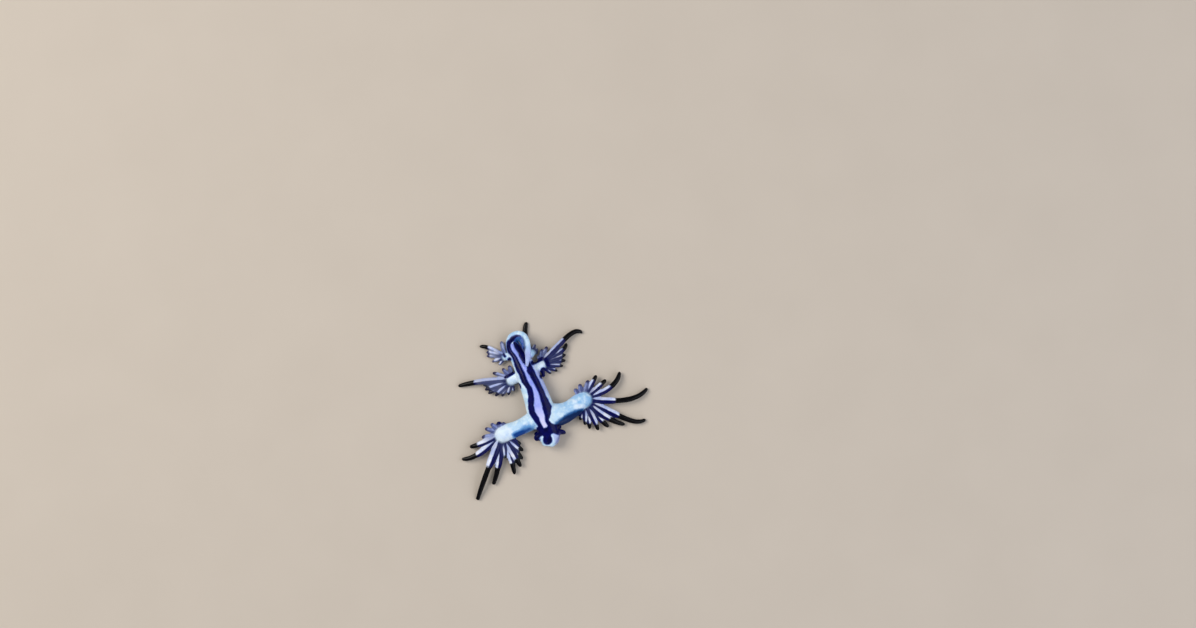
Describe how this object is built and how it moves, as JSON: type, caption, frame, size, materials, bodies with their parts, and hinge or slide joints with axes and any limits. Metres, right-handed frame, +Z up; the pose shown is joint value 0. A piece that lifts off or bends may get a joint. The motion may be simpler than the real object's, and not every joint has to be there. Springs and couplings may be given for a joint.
{
  "type": "blue dragon sea slug",
  "caption": "Life-size still model of a small blue and silver sea slug lying on its back, foot up, with fans of pointed cerata on paired arms and a hooked tail.",
  "frame": {"origin": "on the flat of the back, under the middle of the trunk", "axes": "+Y towards the tail, -Y towards the head, +X towards the right in the top view, +Z up through the foot"},
  "size_m": [0.0401, 0.0317, 0.0044],
  "materials": {
    "silver_blue_skin": "wet silvery blue skin",
    "navy_skin": "wet dark blue skin",
    "pale_skin": "wet pale skin, dark towards the tips"
  },
  "bodies": {
    "root": {"head": "silver_blue_skin", "oral_tentacle_left": "navy_skin", "oral_tentacle_right": "navy_skin", "rhinophore_left": "navy_skin", "rhinophore_right": "navy_skin", "trunk_front": "silver_blue_skin", "trunk_rear": "silver_blue_skin", "tail_base": "silver_blue_skin", "tail_hook": "silver_blue_skin", "tail_tip": "silver_blue_skin", "first_arm_left": "silver_blue_skin", "first_arm_right": "silver_blue_skin", "first_cerata_left_rear": "pale_skin", "first_cerata_left_long": "pale_skin", "first_cerata_left_front": "pale_skin", "first_cerata_right_rear": "pale_skin", "first_cerata_right_long": "pale_skin", "first_cerata_right_front": "pale_skin", "second_cerata_left": "pale_skin", "second_cerata_right": "pale_skin", "third_cerata_left": "pale_skin", "third_cerata_right": "pale_skin"}
  },
  "joints": []
}
